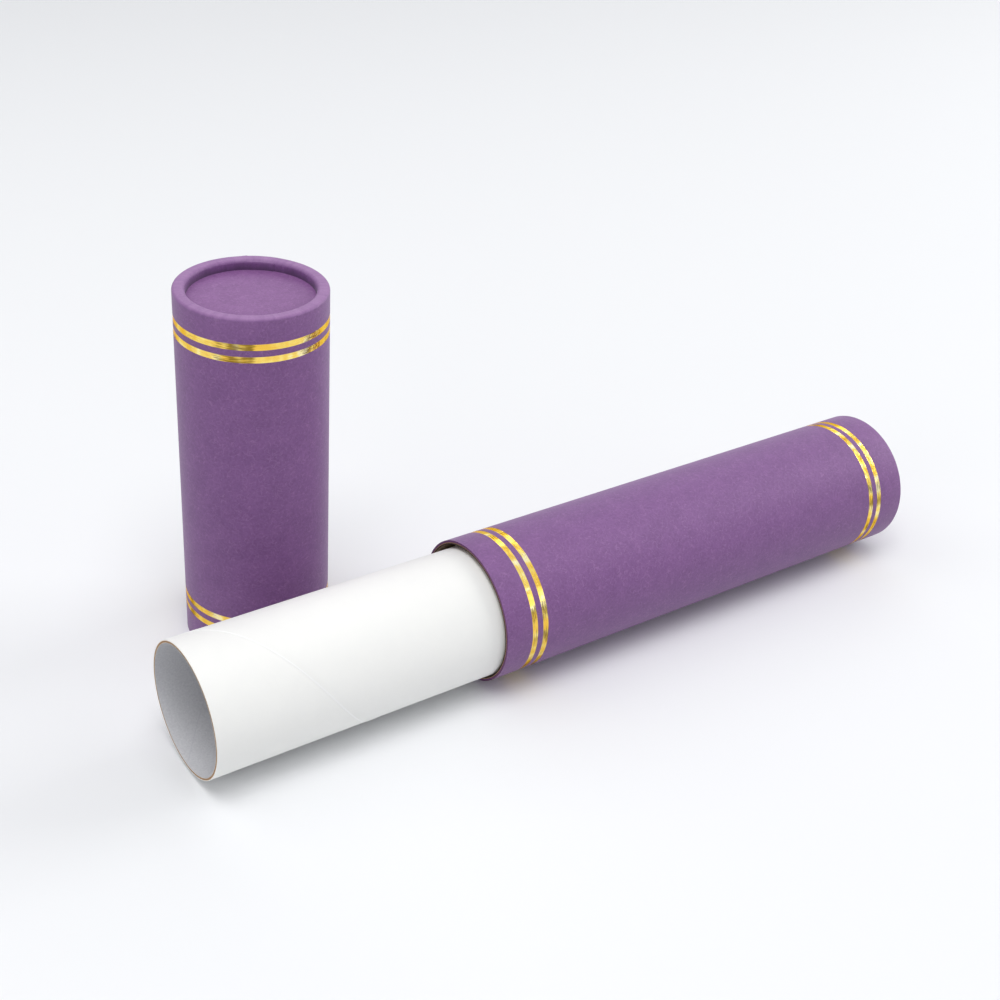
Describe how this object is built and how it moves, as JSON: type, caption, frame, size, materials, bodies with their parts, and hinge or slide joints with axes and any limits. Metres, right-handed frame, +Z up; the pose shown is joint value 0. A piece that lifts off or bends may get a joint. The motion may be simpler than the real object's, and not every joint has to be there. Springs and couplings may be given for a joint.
{
  "type": "certificate scroll holder",
  "caption": "Telescoping paper tube for a rolled certificate: wrapped base with a white inner neck, and a slip lid that stands beside it.",
  "frame": {"origin": "on the surface that base and lid rest on, under the middle of the whole set", "axes": "+X along the base from the neck's mouth to the base's closed end, +Y from the base to the lid beside it, +Z up"},
  "size_m": [0.2922, 0.1118, 0.1302],
  "materials": {
    "board": "matte",
    "wrap_paper": "matte",
    "disc_paper": "matte",
    "neck_liner": "matte"
  },
  "bodies": {
    "base": {"base_tube": "board", "base_wrap": "wrap_paper", "base_disc": "disc_paper", "neck_tube": "neck_liner"},
    "lid": {"lid_tube": "board", "lid_wrap": "wrap_paper", "lid_disc": "disc_paper"}
  },
  "joints": [
    {"name": "lid_lift", "type": "slide", "parent": "base", "child": "lid", "axis": [0, 0, 1], "range_m": [0, 0.15]}
  ]
}
